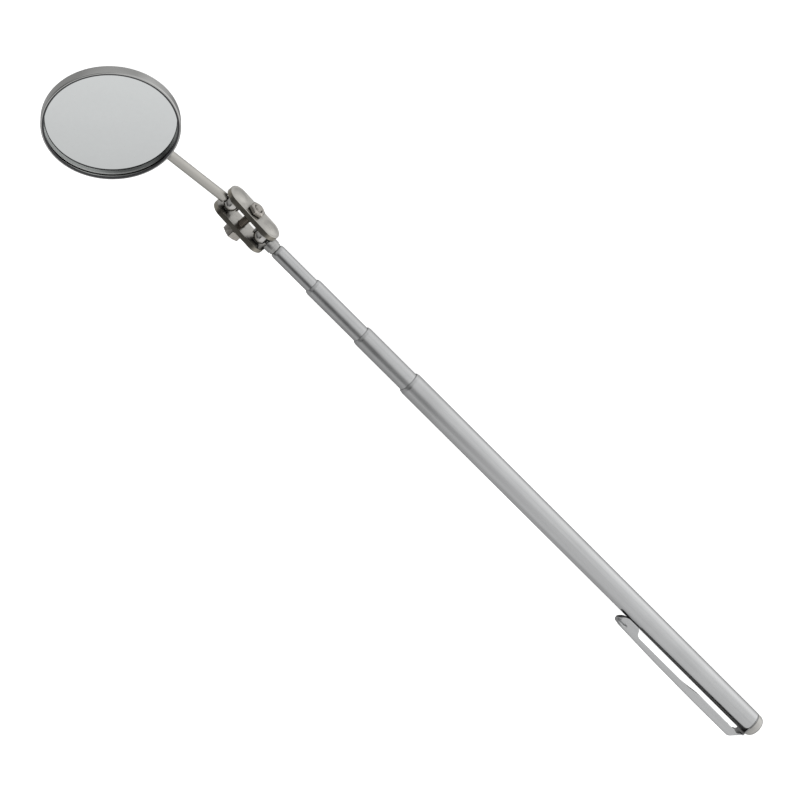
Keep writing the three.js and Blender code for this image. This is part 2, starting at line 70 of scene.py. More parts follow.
WALL = 0.35
MOUTH = 1.3                   # length of a tube's crimped mouth
STAGES = {"barrel_tube": 4.8, "second_tube": 4.15, "third_tube": 3.5, "inner_tube": 2.85}
STAGE_BODIES = {
    "barrel_tube": "barrel", "second_tube": "second_stage",
    "third_tube": "third_stage", "inner_tube": "inner_stage",
}
LIP_CLEARANCE = 0.08          # between a mouth's lip and the tube that slides in it
INNER_LIP = 2.2
LIP_LENGTH = 0.15             # of the bevel inside a mouth's end
LIP_RISE = 0.1
NOSE_LENGTH = 0.1             # of the blunt end of a mouth
NOSE_RISE = 0.05
KNEE_LENGTH = 0.55            # from the end of a mouth to where its crimp turns steep
KNEE_DROP = 0.14
FLARE_RISE = 0.18             # of a sliding tube's tail
FLARE_LENGTH = 0.6
FLARE_TAPER = 0.24

BALL = 3.1
BALL_BORE = 1.25
BALL_STEPS = 48
STEM = 1.05
STEM_HEAD = 1.6
STEM_HEAD_START = 3.0
STEM_HEAD_END = 3.45
STEM_CROWN = 0.8              # radius of the head's end, as a share of the head's
SHOULDER = 3.35

PLUG = 2.8
PLUG_NECK = 2.0
PLUG_GROOVE = 2.5
PLUG_END = -6.5
GROOVE_END = -7.5
INSERT = 2.38                 # the plug's part inside the tube
INSERT_GAP = 0.3              # from it to the tube's crimp

CAP = 4.7
CAP_PLUG = 4.3
CAP_THICKNESS = 3.7
CAP_EDGE = 2.1
RING = 4.8
RING_BORE = 4.36
RING_THICKNESS = 0.5
RING_EASE = 0.08              # chamfer of the ring's outer edges

CLIP_WIDTH = 9.0              # at the root
CLIP_TIP_WIDTH = 4.2
CLIP_SHEET = 0.5
CLIP_BEND = 0.75              # outside radius of the folds along the clip
CLIP_LENGTH = 71.8
CLIP_OVERLAP = 0.25           # of the clip's root over its ring
CLIP_HINGE_HEIGHT = 5.6
TAB_RISE = 0.3                # of the ring's tab over the hinge
CLIP_STEPS = 240
BEND_STEPS = 6
FLANGE_STEPS = 16
INNER_BEND_STEPS = 4
CLIP_OUTSIDE = BEND_STEPS + FLANGE_STEPS + 2  # points of half a section's outside

PLATE_LENGTH = 25.2
PLATE_WIDTH = 9.0
PLATE_THICKNESS = 2.1
PLATE_GAP = 6.0
PLATE_ROUND = 0.22            # rounding of the plates' outer edge
PLATE_EASE = 0.12             # chamfer of their inner edge
EDGE_FACING = 0.6             # a face is part of the edge if its normal's Y is smaller
DOME = 3.6
DOME_HEIGHT = 0.55
DOME_POWER = 1.3              # over 1, so that the dome runs out softly into the plate
POCKET = 3.3
BALL_SPACING = 16.2
END_STEPS = 40                # points round each of a plate's two ends
SIDE_STEPS = 56               # points along each of its two sides
ROUND_STEPS = 6
FACE_STEPS = 22               # rings from its rounding to its middle line

SHANK = 1.6
SHANK_CLEARANCE = 0.12
SHANK_NECK = 0.98             # share of the shank's radius under the head
THREAD_DEPTH = 0.22
THREAD_PITCH = 0.7
THREAD_STEPS = 170            # stations along the thread
THREAD_START = 0.3            # from the screw's end
POINT_CHAMFER = 0.35          # of the screw's end
SHANK_SHADE_REACH = 0.4        # how far into the plates the shank's painted shade reaches
SCREW_SEAT = 5.22             # of the head and the nut, from the clamp's middle plane
HEAD_FLATS = 7.2
HEAD_HEIGHT = 3.6
NUT_FLATS = 5.8
NUT_HEIGHT = 1.8
NUT_CHAMFER = 0.15            # of the nut's bore
SCREW_END = 0.4
HEX_EASE = 0.985              # corners are cut at this share of their radius
HEX_CHAMFER = 0.32            # height of the cone at a hexagon's ends
HEX_CURVE = 0.4               # share of that height at which the cone is halfway out
HEX_FLAT = 0.93               # its smallest radius, as a share of half the width over flats
DRILL_REACH = 10
DRILL_SIDES = 64

ARM = 1.9
ARM_SIDES = 64
TONGUE_WIDTH = 4.8
TONGUE_THICKNESS = 1.5
TONGUE_REACH = 33.0
TONGUE_SQUARENESS = 0.45      # power of its section's sine and cosine: 1 is an ellipse
TONGUE_BEND = 1.5             # half the length of its bend up to the cup
FLATTEN_BEFORE = 3.0          # how far before the bend's middle the rod starts to go flat
FLATTEN_AFTER = 2.2           # how far past it the rod has become the tongue
TIP_TURN = 84                 # degrees of the tongue's round end that are built
ROD_TIP = 0.02                # smallest radius of a section
ROD_STEPS = 10
FLATTEN_STEPS = 14
TONGUE_STEPS = 8
TIP_STEPS = 11
WELD_GAP = 0.3

MIRROR = 25.0
CUP_DEPTH = 4.3
CUP_ROUND = 0.9               # rounding of the cup's back edge
CUP_EASE = 0.1                # how far inside that rounding the flat back ends
CUP_SHEET = 0.5
RIM_ROUND = 0.45              # of the rolled rim's top
RIM_LIP = 23.9
RIM_HEIGHT = 1.0
RIM_TURN = 0.12               # bevel under the rim's lip
LIP_BELOW_DARK_RING = 0.15
DARK_RING = (24.45, 23.75)      # outer and inner radius of the near-black ring along the rim's crest
DARK_RING_ROUND = 0.25
GLASS = 24.2
GLASS_FRONT = -2.1
GLASS_THICKNESS = 1.3
MIRROR_ALONG = 55.4           # of the cup's rim from the arm's ball, along the arm
MIRROR_RISE = 10.3            # and over the arm's axis
MIRROR_TILT = math.radians(11.7)

# ---- Local frames, from the joints --------------------------------------------------

JOINTS = {joint["name"]: joint for joint in frame["joints"]}


def place(joint):
    """A frame at a joint, with the model's own axes."""
    return Matrix.Translation(Vector(JOINTS[joint]["pos_m"]))


def pitch(direction):
    """A turn about Y that brings X to a direction in the XZ plane."""
    return Matrix.Rotation(-math.atan2(direction.z, direction.x), 4, "Y")


HANDLE = place("clamp_swing")
HANDLE_BALL = HANDLE.translation
ARM_BALL = place("arm_swing").translation
CLAMP = HANDLE @ pitch(ARM_BALL - HANDLE_BALL)
HEAD = place("arm_swing") @ pitch(Vector(JOINTS["arm_spin"]["axis"]))
MIRROR_FRAME = (
    HEAD @ Matrix.Translation(Vector((MIRROR_ALONG, 0, MIRROR_RISE)) * MM)
    @ Matrix.Rotation(-MIRROR_TILT, 4, "Y") @ Matrix.Rotation(-math.pi / 2, 4, "Y")
)
CLIP_AXIS = Vector(JOINTS["clip_flex"]["axis"])
CLIP_OUT = Vector((0, CLIP_AXIS.z, -CLIP_AXIS.y))
CLIP_FRAME = HANDLE @ Matrix.Rotation(-math.atan2(CLIP_OUT.y, CLIP_OUT.z), 4, "X")


def along(node, end):
    """Where a node starts (0) or ends (1) on the handle's axis, in millimetres from its ball."""
    return (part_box(node)[end].x - HANDLE_BALL.x) / MM


# ---- Materials ----------------------------------------------------------------------

SHADE_REACH = 2.5 * MM         # how far from a neighbouring surface the painted corner shade goes
SHADE_SAMPLES = 8
RELIEF_DEPTH = 0.02 * MM
LINES = (900, 3, 0.55)         # size, detail and roughness of the noise that draws lines
SMUDGES = (90, 4, 0.6)         # the same for the noise that has no direction
SMUDGE_GLOSS = (0.85, 1.2)     # least and most that a smudge scales the roughness
# The stretch of each input over which a look changes.
NOISE_SPAN = (0.3, 0.7)
OPEN_SPAN = (0.25, 0.85)       # from a closed corner to an open face
EDGE_SPAN = (0.5, 0.6)         # from a flat face to a sharp edge
FACING_SPAN = (0.85, 0.99)     # from a slanted face to one square to Z


def map_range(tree, value, span, low=0.0, high=1.0):
    """Maps a value's span to low and high, and holds it there outside the span."""
    node = tree.nodes.new("ShaderNodeMapRange")
    node.inputs["From Min"].default_value = span[0]
    node.inputs["From Max"].default_value = span[1]
    node.inputs["To Min"].default_value = low
    node.inputs["To Max"].default_value = high
    tree.links.new(value, node.inputs["Value"])
    return node.outputs["Result"]


def calculated(tree, operation, *values):
    """The result of a math node. Each value is a node's output or a number."""
    node = tree.nodes.new("ShaderNodeMath")
    node.operation = operation
    for socket, value in zip(node.inputs, values):
        if isinstance(value, bpy.types.NodeSocket):
            tree.links.new(value, socket)
        else:
            socket.default_value = value
    return node.outputs["Value"]


def metal(name, colour, roughness, grain, tone=0.06, spread=0.10, bump=0.05, wear=0.0, corner_shade=0.0,
          metallic=1.0, long_edge_shade=1.0):
    """A plated or brushed metal. `grain` scales a noise in the piece's own frame, so that a
    small number along X draws it out into lines. `tone` varies the colour, `spread` the
    roughness and `wear` polishes the edges. Two settings paint shade into the colour: one
    darkens the corners and gaps between parts, as an ambient occlusion node finds them, and
    one scales the colour down where the piece's surface faces along its own Z."""
    material = bpy.data.materials.new(name)
    material.use_nodes = True
    tree = material.node_tree
    link = tree.links.new
    shader = tree.nodes["Principled BSDF"]
    shader.inputs["Metallic"].default_value = metallic
    own = tree.nodes.new("ShaderNodeTexCoord")

    def noise(scale, size, detail, rough):
        mapping = tree.nodes.new("ShaderNodeMapping")
        mapping.inputs["Scale"].default_value = scale
        texture = tree.nodes.new("ShaderNodeTexNoise")
        texture.inputs["Scale"].default_value = size
        texture.inputs["Detail"].default_value = detail
        texture.inputs["Roughness"].default_value = rough
        link(own.outputs["Object"], mapping.inputs["Vector"])
        link(mapping.outputs["Vector"], texture.inputs["Vector"])
        return texture.outputs["Fac"]

    def product(first, second):
        return calculated(tree, "MULTIPLY", first, second)

    lines = noise(grain, *LINES)
    smudge = noise((1, 1, 1), *SMUDGES)
    shade = product(map_range(tree, lines, NOISE_SPAN, 1 - tone, 1),
                    map_range(tree, smudge, NOISE_SPAN, 1 - tone, 1))
    # Painted shade: the colour is darkened in corners and between parts, as an ambient occlusion
    # node finds them.
    if corner_shade:
        corner = tree.nodes.new("ShaderNodeAmbientOcclusion")
        corner.samples = SHADE_SAMPLES
        corner.inputs["Distance"].default_value = SHADE_REACH
        shade = product(shade, map_range(tree, corner.outputs["AO"], OPEN_SPAN, 1 - corner_shade, 1))
    # Painted shade: the colour is darkened where the surface faces along the piece's own Z.
    if long_edge_shade < 1:
        facing = tree.nodes.new("ShaderNodeSeparateXYZ")
        link(own.outputs["Normal"], facing.inputs["Vector"])
        upright = calculated(tree, "ABSOLUTE", facing.outputs["Z"])
        shade = product(shade, map_range(tree, upright, FACING_SPAN, 1, long_edge_shade))
    tinted = tree.nodes.new("ShaderNodeVectorMath")
    tinted.operation = "SCALE"
    tinted.inputs[0].default_value = colour
    link(shade, tinted.inputs["Scale"])
    low, high = roughness * (1 - spread), roughness * (1 + spread)
    rough = product(map_range(tree, lines, NOISE_SPAN, low, high),
                    map_range(tree, smudge, NOISE_SPAN, *SMUDGE_GLOSS))
    if wear:
        edge = tree.nodes.new("ShaderNodeNewGeometry")
        rough = product(rough, map_range(tree, edge.outputs["Pointiness"], EDGE_SPAN, 1, 1 - wear))
    link(tinted.outputs["Vector"], shader.inputs["Base Color"])
    link(rough, shader.inputs["Roughness"])
    relief = tree.nodes.new("ShaderNodeBump")
    relief.inputs["Strength"].default_value = bump
    relief.inputs["Distance"].default_value = RELIEF_DEPTH
    link(lines, relief.inputs["Height"])
    link(relief.outputs["Normal"], shader.inputs["Normal"])
    return material


def paint(node, material):
    """Gives a CAD node that no piece replaces its material."""
    materials = frame["nodes"][node].data.materials
    materials.clear()
    materials.append(material)


DRAWN = (0.02, 1, 1)           # lines along X
TURNED = (1, 0.05, 0.05)       # rings about X
EVEN = (0.6, 0.6, 0.6)         # no direction

# Painted shade: the corner setting of these metals darkens their colour in corners and between
# parts.
TUBE = metal("tube_plate", (0.60, 0.605, 0.61), 0.17, DRAWN, tone=0.08, bump=0.06, corner_shade=0.25)
PLUG_METAL = metal("plug_plate", (0.54, 0.54, 0.53), 0.24, TURNED, tone=0.12, bump=0.10, corner_shade=0.5)
CAP_METAL = metal("cap_satin", (0.62, 0.61, 0.585), 0.42, TURNED, tone=0.10, bump=0.20, corner_shade=0.3)
CLIP_METAL = metal("clip_plate", (0.58, 0.585, 0.59), 0.20, DRAWN, tone=0.08, bump=0.08, wear=0.3)
# Painted shade: a darker colour for the clip's inside and for the ring's rim and its face towards
# the mirror.
CLIP_INSIDE_SHADE = metal("clip_inside_shade", (0.46, 0.46, 0.46), 0.40, DRAWN, tone=0.25, bump=0.10)
BALL_METAL = metal("ball_polish", (0.62, 0.61, 0.59), 0.09, EVEN, tone=0.05, bump=0.03, corner_shade=0.6)
PLATE_METAL = metal("plate_nickel", (0.60, 0.585, 0.55), 0.30, EVEN, tone=0.14, bump=0.14,
                    wear=0.4, corner_shade=0.5)
# The sheared edge's own brownish tint, with painted shade that darkens its long edges.
PLATE_EDGE_AND_SHADE = metal("plate_sheared_edge_and_shade", (0.58, 0.545, 0.47), 0.34, EVEN, tone=0.25, bump=0.25,
                   corner_shade=0.4, long_edge_shade=0.33)
SCREW_METAL = metal("screw_nickel", (0.56, 0.53, 0.49), 0.27, EVEN, tone=0.16, bump=0.12,
                    wear=0.4, corner_shade=0.7)
# Painted shade: a dark brown for the part of the screw's shank that lies between the plates.
SHANK_SHADE_METAL = metal("screw_thread_shade", (0.22, 0.19, 0.16), 0.30, EVEN, tone=0.3, bump=0.2, corner_shade=0.3)
ARM_METAL = metal("arm_nickel", (0.58, 0.565, 0.53), 0.36, DRAWN, tone=0.12, bump=0.12, corner_shade=0.3)
CUP_METAL = metal("cup_plate", (0.54, 0.54, 0.53), 0.14, TURNED, tone=0.07, bump=0.05, wear=0.3)
# A near-black colour for the ring along the rim's crest.
RIM_DARK_RING = metal("rim_dark_ring", (0.025, 0.025, 0.028), 0.45, EVEN, tone=0.3, bump=0.3,
                    metallic=0.0)
MIRROR_METAL = metal("silvered_glass", (0.79, 0.81, 0.81), 0.025, EVEN, tone=0.015, spread=0.2,
                     bump=0.0)
BRONZE = metal("spring_bronze", (0.50, 0.33, 0.18), 0.35, DRAWN, tone=0.12)
BRASS = metal("bush_brass", (0.60, 0.47, 0.22), 0.33, TURNED, tone=0.10)
PAD_FOAM = metal("pad_foam", (0.04, 0.04, 0.04), 0.85, EVEN, tone=0.3, bump=0.5, metallic=0.0)

# ---- Mesh helpers -------------------------------------------------------------------

NEARLY_ZERO = 1e-6            # a radius below this is a point on the axis
MOST_OF_HALF = 0.49           # the share of an edge that a rounding may take


def piece(name, mesh_data, matrix, material, nodes, body=None, second=None, marked=()):
    """Makes an object from points in millimetres, which stands for CAD nodes. The marked
    faces get the second material."""
    points, faces = mesh_data
    mesh = bpy.data.meshes.new(name)
    mesh.from_pydata([Vector(p) * MM for p in points], [], faces)
    for number in marked:
        mesh.polygons[number].material_index = 1
    merged = bmesh.new()
    merged.from_mesh(mesh)
    bmesh.ops.remove_doubles(merged, verts=merged.verts, dist=SAME_PLACE)
    bmesh.ops.recalc_face_normals(merged, faces=merged.faces)
    merged.to_mesh(mesh)
    merged.free()
    mesh.shade_smooth()
    mesh.set_sharp_from_angle(angle=SMOOTH_ANGLE)
    mesh.materials.append(material)
    if second:
        mesh.materials.append(second)
    obj = bpy.data.objects.new(name, mesh)
    bpy.context.scene.collection.objects.link(obj)
    obj.matrix_world = matrix
    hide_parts(*nodes)
    if body:
        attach(obj, body)
    return obj


def softened(corners, closed=False, steps=5):
    """A profile whose corners (x, radius, rounding) are rounded off."""
    count = len(corners)
    line = []
    for i, corner in enumerate(corners):
        here = Vector(corner[:2])
        rounding = corner[2] if len(corner) > 2 else 0
        if not rounding or (not closed and i in (0, count - 1)):
            line.append(tuple(here))
            continue
        before = Vector(corners[i - 1][:2]) - here
        after = Vector(corners[(i + 1) % count][:2]) - here
        reach = min(rounding, before.length * MOST_OF_HALF, after.length * MOST_OF_HALF)
        start = here + before.normalized() * reach
        end = here + after.normalized() * reach
        for k in range(steps + 1):
            t = k / steps
            line.append(tuple(start * (1 - t) ** 2 + here * 2 * t * (1 - t) + end * t ** 2))
    return line


def spun(stations, sides=FINE, closed=False):
    """A skin about X. Each station is (x, radius), where the radius is a number or a
    function of the angle, and radius 0 is a point on the axis."""
    points, rings = [], []
    for x, radius in stations:
        first = len(points)
        if not callable(radius) and radius < NEARLY_ZERO:
            points.append((x, 0, 0))
            rings.append([first] * sides)
            continue
        for k in range(sides):
            angle = 2 * math.pi * k / sides
            r = radius(angle) if callable(radius) else radius
            points.append((x, r * math.cos(angle), r * math.sin(angle)))
        rings.append(list(range(first, first + sides)))
    pairs = list(zip(rings, rings[1:]))
    if closed:
        pairs.append((rings[-1], rings[0]))
    return points, skin(pairs, sides)


def skin(pairs, sides):
    """Faces between pairs of rings of point numbers. A ring of one number is a point."""
    faces = []
    for a, b in pairs:
        for k in range(sides):
            n = (k + 1) % sides
            corners = [a[k], a[n], b[n], b[k]]
            unique = list(dict.fromkeys(corners))
            if len(unique) > 2:
                faces.append(unique)
    return faces


def skinned(rings):
    """A skin over rings that all have the same number of points."""
    sides = len(rings[0])
    points = [p for ring in rings for p in ring]
    index = [list(range(i * sides, (i + 1) * sides)) for i in range(len(rings))]
    return points, skin(list(zip(index, index[1:])), sides)


def lofted(rings):
    """A closed skin over rings of points, with flat ends."""
    points, faces = skinned(rings)
    numbers = list(range(len(points)))
    sides = len(rings[0])
    return points, faces + [numbers[:sides][::-1], numbers[-sides:]]


def arc(x, radius, size, start, end, steps=12):
    """Points (x, radius) of an arc about a centre, from one angle in degrees to another."""
    spots = [math.radians(start + (end - start) * k / steps) for k in range(steps + 1)]
    return [(x + size * math.cos(a), radius + size * math.sin(a)) for a in spots]


# ---- Telescope ----------------------------------------------------------------------

def tube(name, radius, lip, flare):
    """A tube with a tail that is wider by its flare, and a mouth that is crimped to a lip."""
    tail, mouth = along(name, 0), along(name, 1)
    bore = radius - WALL
    flare_end = tail + FLARE_LENGTH
    crimp = mouth - MOUTH
    corners = [
        (tail, bore), (tail, radius + flare, 0.08), (flare_end, radius + flare, 0.2),
        (flare_end + FLARE_TAPER, radius, 0.2), (crimp, radius, 0.25),
        (mouth - KNEE_LENGTH, radius - KNEE_DROP, 0.3),
        (mouth - NOSE_LENGTH, (radius + lip) / 2 + NOSE_RISE, 0.25),
        (mouth, lip + LIP_RISE, 0.1), (mouth - LIP_LENGTH, lip, 0.08),
        (crimp + WALL, lip, 0.1), (crimp, bore, 0.1),
    ]
    data = spun(softened(corners, closed=True), closed=True)
    piece(name + "_look", data, HANDLE, TUBE, [name], STAGE_BODIES[name])


def telescope():
    names = list(STAGES)
    lips = [STAGES[name] + LIP_CLEARANCE for name in names[1:]] + [INNER_LIP]
    for name, lip in zip(names, lips):
        tube(name, STAGES[name], lip, 0 if name == names[0] else FLARE_RISE)
    for number in (2, 3, 4):
        paint(f"friction_spring_{number}", BRONZE)
        paint(f"stop_bush_{number}", BRASS)


def stem(side):
    """The peened head and shaft through a ball, from the head's tip to the shoulder."""
    corners = [
        (STEM_HEAD_END, 0), (STEM_HEAD_END, STEM_HEAD * STEM_CROWN, 0.3),
        (STEM_HEAD_START, STEM_HEAD, 0.1), (STEM_HEAD_START, STEM), (-SHOULDER, STEM),
    ]
    return [(side * x, r) for x, r in softened(corners)]


def nose_plug():
    insert_start = along("nose_plug", 0)
    insert_end = along("inner_tube", 1) - MOUTH - INSERT_GAP
    corners = [
        (-SHOULDER, STEM), (-SHOULDER, PLUG, 0.35), (PLUG_END, PLUG, 0.2),
        (PLUG_END, PLUG_GROOVE, 0.1), (GROOVE_END, PLUG_GROOVE, 0.1), (GROOVE_END, PLUG_NECK),
        (insert_end, PLUG_NECK), (insert_end, INSERT, 0.1), (insert_start, INSERT, 0.2),
        (insert_start, 0),
    ]
    data = spun(stem(1) + softened(corners))
    piece("nose_plug_look", data, HANDLE, PLUG_METAL, ["nose_plug"], "inner_stage")


def ball(name, matrix):
    edge = math.degrees(math.asin(BALL_BORE / BALL))
    data = spun(arc(0, 0, BALL, 180 - edge, edge, BALL_STEPS), closed=True)
    piece(name + "_look", data, matrix, BALL_METAL, [name], name)


def end_cap():
    end = along("end_cap", 0)
    seat = end + CAP_THICKNESS
    plug_end = along("end_cap", 1)
    outside = [(end, 0)] + arc(end + CAP_EDGE, CAP - CAP_EDGE, CAP_EDGE, 180, 90)
    corners = [(seat, CAP, 0.12), (seat, CAP_PLUG), (plug_end, CAP_PLUG, 0.4), (plug_end, 0)]
    data = spun(outside + softened([outside[-1]] + corners)[1:])
    piece("end_cap_look", data, HANDLE, CAP_METAL, ["end_cap"], "barrel")


# ---- Pocket clip --------------------------------------------------------------------

# Side view of the clip's back and of its flanges' free edge, as (place along the clip, height
# over the handle's axis, rounding), and its round relief as (place, height, radius).
CLIP_BACK = softened([
    (0, 5.9), (4.3, 10.3, 1.0), (25, 10.35, 5), (45, 10.1, 5), (58, 9.7, 4), (68.6, 9.4, 1.5),
    (71, 8.9, 0.7), (CLIP_LENGTH, 8.2),
])
CLIP_EDGE = softened([
    (0, 5.9), (5, 6.6, 1), (24, 6.6, 2), (31, 7.5, 2), (59.8, 7.5, 0.8), (61, 6.8, 0.5),
    (61.8, 5.1, 0.4), (62.8, 4.7, 0.5), (68, 4.7, 0.8), (69.6, 5.4, 0.6), (71.4, 7, 0.3),
    (CLIP_LENGTH, 7.7),
])
RELIEF = (3, 4.9, 2)
# The tip is rounded from one place onwards. It is also pinched: its flanges are creased
# inwards at one height, over a short fade.
TIP_START = 70.2
TIP_ROUND = 0.7
CREASE_START = 66.5
CREASE_FADE = 1.5
CREASE_HEIGHT = 7.85
CREASE_DEPTH = 0.55
CREASE_WIDTH = 0.3
FLANGE_EASE = 0.08            # of the flanges' free edge
INNER_BEND = 0.4              # radius of the folds' inside, as a share of their outside's
SLOPE_REACH = 0.2             # each way, for the back's slope
STEEPEST = 1.5                # the most that the slope thickens the web's section


def height(line, x):
    """Height of a line through (x, height) points."""
    for (xa, za), (xb, zb) in zip(line, line[1:]):
        if x <= xb:
            return za + (zb - za) * (x - xa) / (xb - xa)
    return line[-1][1]


def clip_edge(x):
    """Height of the flanges' free edge, with the relief cut into it."""
    edge = height(CLIP_EDGE, x)
    relief_x, relief_z, relief_r = RELIEF
    if abs(x - relief_x) < relief_r:
        edge = max(edge, relief_z + math.sqrt(relief_r ** 2 - (x - relief_x) ** 2))
    return edge


def clip_half_width(x):
    half = (CLIP_WIDTH - (CLIP_WIDTH - CLIP_TIP_WIDTH) * x / CLIP_LENGTH) / 2
    rounded = max(0.0, (x - TIP_START) / (CLIP_LENGTH - TIP_START))
    return half * math.sqrt(1 - TIP_ROUND * rounded ** 2)


def clip_section(x):
    """The folded sheet's outline at a place along the clip, as a closed ring: down the outside
    of one flange, up its inside, and the same mirrored on the other flange."""
    top = height(CLIP_BACK, x)
    before = height(CLIP_BACK, max(x - SLOPE_REACH, 0))
    after = height(CLIP_BACK, min(x + SLOPE_REACH, CLIP_LENGTH))
    sheet = CLIP_SHEET * min(math.hypot(1, (after - before) / (2 * SLOPE_REACH)), STEEPEST)
    edge = min(clip_edge(x), top - sheet)
    half = clip_half_width(x)
    pinch = CREASE_DEPTH * min(max((x - CREASE_START) / CREASE_FADE, 0.0), 1.0)
    bend = min(CLIP_BEND, top - edge)

    def creased(y, z):
        return y - pinch * math.exp(-((z - CREASE_HEIGHT) / CREASE_WIDTH) ** 2), z

    side = []
    for k in range(BEND_STEPS + 1):
        a = math.pi / 2 * k / BEND_STEPS
        side.append(creased(half - bend + bend * math.sin(a), top - bend * (1 - math.cos(a))))
    for k in range(1, FLANGE_STEPS):
        side.append(creased(half, top - bend - (top - bend - edge) * k / FLANGE_STEPS))
    side.append(creased(half - FLANGE_EASE, edge))
    side.append(creased(half - CLIP_SHEET + FLANGE_EASE, edge))
    inner_top = top - sheet
    inner_half = half - CLIP_SHEET
    inner_edge = min(edge + FLANGE_EASE, inner_top)
    reach = min(bend * INNER_BEND, inner_top - inner_edge)
    for k in range(FLANGE_STEPS):
        z = inner_edge + (inner_top - reach - inner_edge) * k / FLANGE_STEPS
        side.append(creased(inner_half, z))
    for k in range(INNER_BEND_STEPS + 1):
        a = math.pi / 2 * k / INNER_BEND_STEPS
        y = inner_half - reach + reach * math.cos(a)
        side.append(creased(y, inner_top - reach + reach * math.sin(a)))
    return side + [(-y, z) for y, z in reversed(side)]


def ring_outline(inset):
    """Radius of the clip ring at an angle: a circle that widens into the clip's tab."""
    def radius(angle):
        if math.sin(angle) <= 0:
            return RING - inset
        across = CLIP_WIDTH / 2 / max(abs(math.cos(angle)), NEARLY_ZERO)
        upwards = (CLIP_HINGE_HEIGHT + TAB_RISE) / max(math.sin(angle), NEARLY_ZERO)
        return max(RING, min(across, upwards)) - inset
    return radius


def clip_ring():
    start = along("clip_ring", 0)
    end = start + RING_THICKNESS
    bevelled, full = ring_outline(RING_EASE), ring_outline(0)
    return spun([
        (start, RING_BORE), (start, bevelled), (start + RING_EASE, full), (end - RING_EASE, full),
        (end, bevelled), (end, RING_BORE),
    ], closed=True)


def clip():
    """The clip and its ring, with a darker material that paints shade on the clip's inside, and
    on the ring's rim and on its face towards the mirror."""
    root = along("clip_ring", 1) - CLIP_OVERLAP
    rings = []
    for k in range(CLIP_STEPS + 1):
        x = CLIP_LENGTH * k / CLIP_STEPS
        rings.append([(root + x, y, z) for y, z in clip_section(x)])
    points, faces = lofted(rings)
    section = len(rings[0])
    inside = range(CLIP_OUTSIDE - 1, section - CLIP_OUTSIDE)
    # Painted shade on the faces inside the clip, and below on the ring's rim and mirror-side face.
    dark = [k * section + i for k in range(CLIP_STEPS) for i in inside]
    rim = len(faces) + FINE
    dark += range(rim, rim + 4 * FINE)
    ring_points, ring_faces = clip_ring()
    faces += [[len(points) + i for i in face] for face in ring_faces]
    obj = piece("clip_look", (points + ring_points, faces), CLIP_FRAME, CLIP_METAL,
                ["pocket_clip", "clip_ring"], second=CLIP_INSIDE_SHADE, marked=dark)
    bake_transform(obj)


# ---- Double ball clamp --------------------------------------------------------------

def plate_heights(x, z, from_edge):
    """Inner and outer surface of a plate at a point, from the clamp's middle plane."""
    inner = PLATE_GAP / 2
    outer = inner + PLATE_THICKNESS
    if from_edge < PLATE_ROUND:
        outer -= PLATE_ROUND - math.sqrt(PLATE_ROUND ** 2 - (PLATE_ROUND - from_edge) ** 2)
    for centre in (-BALL_SPACING / 2, BALL_SPACING / 2):
        r = math.hypot(x - centre, z)
        if r < DOME:
            outer += DOME_HEIGHT * (1 - (r / DOME) ** 2) ** DOME_POWER
        if r < POCKET and math.sqrt(POCKET ** 2 - r ** 2) > inner:
            inner = math.sqrt(POCKET ** 2 - r ** 2)
    return inner, outer


def plate_spine():
    """The plate's middle line, once round, as (x, z) with the direction out to the edge."""
    straight = (PLATE_LENGTH - PLATE_WIDTH) / 2
    spine = []
    for end, start_angle in ((straight, -math.pi / 2), (-straight, math.pi / 2)):
        for k in range(END_STEPS):
            a = math.pi * k / END_STEPS + start_angle
            spine.append((end, 0, math.cos(a), math.sin(a)))
        for k in range(SIDE_STEPS):
            spine.append((end - 2 * end * k / SIDE_STEPS, 0, 0, math.copysign(1, end)))
    return spine


def plate_mesh(side):
    half = PLATE_WIDTH / 2
    spine = plate_spine()
    depths = [PLATE_ROUND * (1 - math.cos(math.pi / 2 * k / ROUND_STEPS))
              for k in range(ROUND_STEPS + 1)]
    depths += [PLATE_ROUND + (half - PLATE_ROUND) * k / FACE_STEPS for k in range(1, FACE_STEPS + 1)]
    outer_rings, inner_rings = [], []
    for depth in depths:
        outer_ring, inner_ring = [], []
        for sx, sz, nx, nz in spine:
            x = sx + nx * (half - depth)
            z = sz + nz * (half - depth)
            low, high = plate_heights(x, z, depth)
            inset = 0 if depth else PLATE_EASE
            outer_ring.append((x, side * high, z))
            inner_ring.append((x, side * (low + inset), z))
        outer_rings.append(outer_ring)
        inner_rings.append(inner_ring)
    return skinned(outer_rings[::-1] + inner_rings)


def drilled(obj, radius, axis_place):
    """Cuts a round hole along the clamp's Y through an object."""
    ends = [(-DRILL_REACH, 0), (-DRILL_REACH, radius), (DRILL_REACH, radius), (DRILL_REACH, 0)]
    points, faces = spun(ends, DRILL_SIDES)
    cutter_mesh = bpy.data.meshes.new("drill")
    cutter_mesh.from_pydata([Vector(p) * MM for p in points], [], faces)
    cutter = bpy.data.objects.new("drill", cutter_mesh)
    bpy.context.scene.collection.objects.link(cutter)
    cutter.matrix_world = axis_place @ Matrix.Rotation(math.pi / 2, 4, "Z")
    boolean = obj.modifiers.new("hole", "BOOLEAN")
    boolean.operation = "DIFFERENCE"
    boolean.solver = "EXACT"
    boolean.object = cutter
    bpy.context.view_layer.update()
    cut = obj.evaluated_get(bpy.context.evaluated_depsgraph_get())
    result = bpy.data.meshes.new_from_object(cut)
    obj.modifiers.clear()
    obj.data = result
    result.set_sharp_from_angle(angle=SMOOTH_ANGLE)
    bpy.data.objects.remove(cutter)


def hexagon(across_flats):
    """Radius of a hexagon at an angle, with its corners eased."""
    corner = across_flats / math.sqrt(3) * HEX_EASE

    def radius(angle):
        turned = ((angle + math.pi / 6) % (math.pi / 3)) - math.pi / 6
        return min(across_flats / 2 / math.cos(turned), corner)
    return radius


